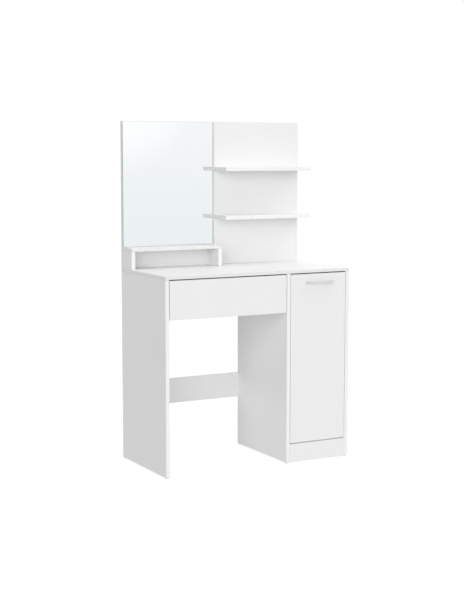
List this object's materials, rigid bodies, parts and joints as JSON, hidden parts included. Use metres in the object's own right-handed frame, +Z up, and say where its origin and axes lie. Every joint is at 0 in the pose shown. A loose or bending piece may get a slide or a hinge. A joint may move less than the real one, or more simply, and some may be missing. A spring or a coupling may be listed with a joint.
{
  "type": "vanity table with mirror",
  "caption": "White board vanity table with an upright mirror, open wall shelves, a sliding drawer, a hinged cabinet door and an open cubby on the top.",
  "frame": {"origin": "on the floor, under the middle of the whole piece's box, handle included", "axes": "+Z up, +Y to the back (the wall side), +X to the right of someone sitting at the table"},
  "size_m": [0.8, 0.4186, 1.325],
  "materials": {
    "board": "smooth white melamine-faced particle board, satin",
    "hardboard": "thin white-faced hardboard, matt",
    "mirror": "flat silvered glass with a polished edge",
    "handle": "satin metal bow handle",
    "steel": "nickel-plated steel",
    "coated_steel": "white epoxy-coated pressed steel",
    "plastic": "moulded off-white plastic"
  },
  "bodies": {
    "carcass": {"left_side_panel": "board", "centre_divider": "board", "right_side_panel": "board", "table_top": "board", "knee_rail": "board", "rear_apron": "board", "glide_left_front": "plastic", "glide_left_rear": "plastic", "glide_centre_front": "plastic", "glide_centre_rear": "plastic", "glide_right_front": "plastic", "glide_right_rear": "plastic", "plinth_board": "board", "cabinet_floor": "board", "cabinet_back_panel": "hardboard", "cabinet_shelf": "board", "shelf_pin_left_front": "steel", "shelf_pin_left_rear": "steel", "shelf_pin_right_front": "steel", "shelf_pin_right_rear": "steel", "mirror_board": "board", "mirror_glass": "mirror", "cubby_top": "board", "cubby_left_panel": "board", "cubby_right_panel": "board", "shelf_back_board": "board", "lower_shelf": "board", "upper_shelf": "board", "lower_shelf_screw_left": "steel", "lower_shelf_screw_right": "steel", "upper_shelf_screw_left": "steel", "upper_shelf_screw_right": "steel", "joining_plate_left": "steel", "joining_plate_mirror_right": "steel", "joining_plate_divider": "steel", "joining_plate_right": "steel", "left_cabinet_rail": "coated_steel", "right_cabinet_rail": "coated_steel", "upper_hinge_arm": "steel", "lower_hinge_arm": "steel", "upper_hinge_plate": "steel", "lower_hinge_plate": "steel"},
    "drawer": {"drawer_front": "board", "drawer_left_side": "board", "drawer_right_side": "board", "drawer_back": "board", "drawer_base": "hardboard", "left_drawer_runner": "coated_steel", "right_drawer_runner": "coated_steel"},
    "door": {"cabinet_door": "board", "door_handle": "handle", "handle_screw_left": "steel", "handle_screw_right": "steel", "upper_hinge_cup": "steel", "lower_hinge_cup": "steel"},
    "left_front_roller": {"left_front_roller": "plastic"},
    "left_rear_roller": {"left_rear_roller": "plastic"},
    "right_front_roller": {"right_front_roller": "plastic"},
    "right_rear_roller": {"right_rear_roller": "plastic"}
  },
  "joints": [
    {"name": "drawer_slide", "type": "slide", "parent": "carcass", "child": "drawer", "axis": [0, -1, 0], "range_m": [0, 0.26]},
    {"name": "door_hinge", "type": "hinge", "parent": "carcass", "child": "door", "pos_m": [0.384, -0.18925, 0.409], "axis": [0, 0, 1], "range_deg": [0, 100]},
    {"name": "left_front_roller_spin", "type": "hinge", "parent": "carcass", "child": "left_front_roller", "pos_m": [-0.3785, -0.15595, 0.6205], "axis": [1, 0, 0], "range_deg": [0, 1656]},
    {"name": "left_rear_roller_spin", "type": "hinge", "parent": "drawer", "child": "left_rear_roller", "pos_m": [-0.3785, 0.16205, 0.6205], "axis": [1, 0, 0], "range_deg": [0, 1656]},
    {"name": "right_front_roller_spin", "type": "hinge", "parent": "carcass", "child": "right_front_roller", "pos_m": [0.111, -0.15595, 0.6205], "axis": [1, 0, 0], "range_deg": [0, 1656]},
    {"name": "right_rear_roller_spin", "type": "hinge", "parent": "drawer", "child": "right_rear_roller", "pos_m": [0.111, 0.16205, 0.6205], "axis": [1, 0, 0], "range_deg": [0, 1656]}
  ],
  "couplings": [
    {"joint": "left_front_roller_spin", "follows": "drawer_slide", "rad_per_m": 111.11},
    {"joint": "left_rear_roller_spin", "follows": "drawer_slide", "rad_per_m": 111.11},
    {"joint": "right_front_roller_spin", "follows": "drawer_slide", "rad_per_m": 111.11},
    {"joint": "right_rear_roller_spin", "follows": "drawer_slide", "rad_per_m": 111.11}
  ]
}
